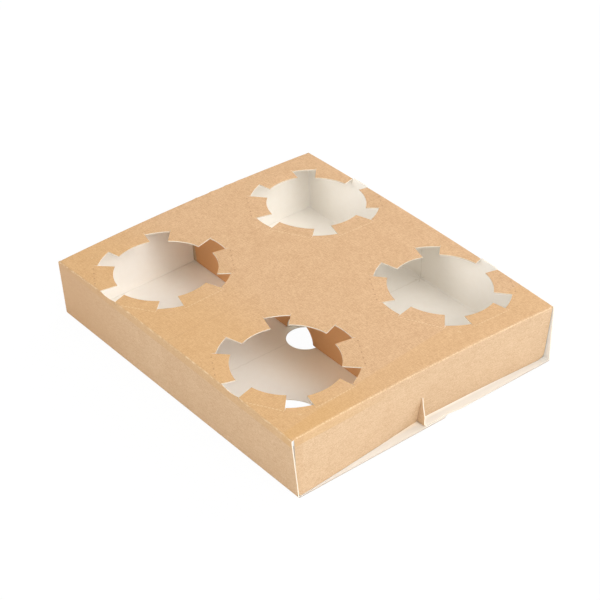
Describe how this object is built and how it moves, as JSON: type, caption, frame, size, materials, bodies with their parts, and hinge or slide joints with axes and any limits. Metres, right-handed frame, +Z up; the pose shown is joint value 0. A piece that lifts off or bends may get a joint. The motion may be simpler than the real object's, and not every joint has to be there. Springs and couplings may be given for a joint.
{
  "type": "cup carrier",
  "caption": "Low folded cardboard tray that holds takeaway cups upright, with a ring of bending tabs round each seat and a divider along the middle.",
  "frame": {"origin": "middle of the base, on the surface the tray stands on", "axes": "+X along the long folds and the divider, +Y across the two rows of seats, +Z up"},
  "size_m": [0.22, 0.1919, 0.044],
  "materials": {
    "kraft_board": "matt brown kraft outside, matt white inside"
  },
  "bodies": {
    "root": {"carrier_sheet": "kraft_board"}
  },
  "joints": []
}
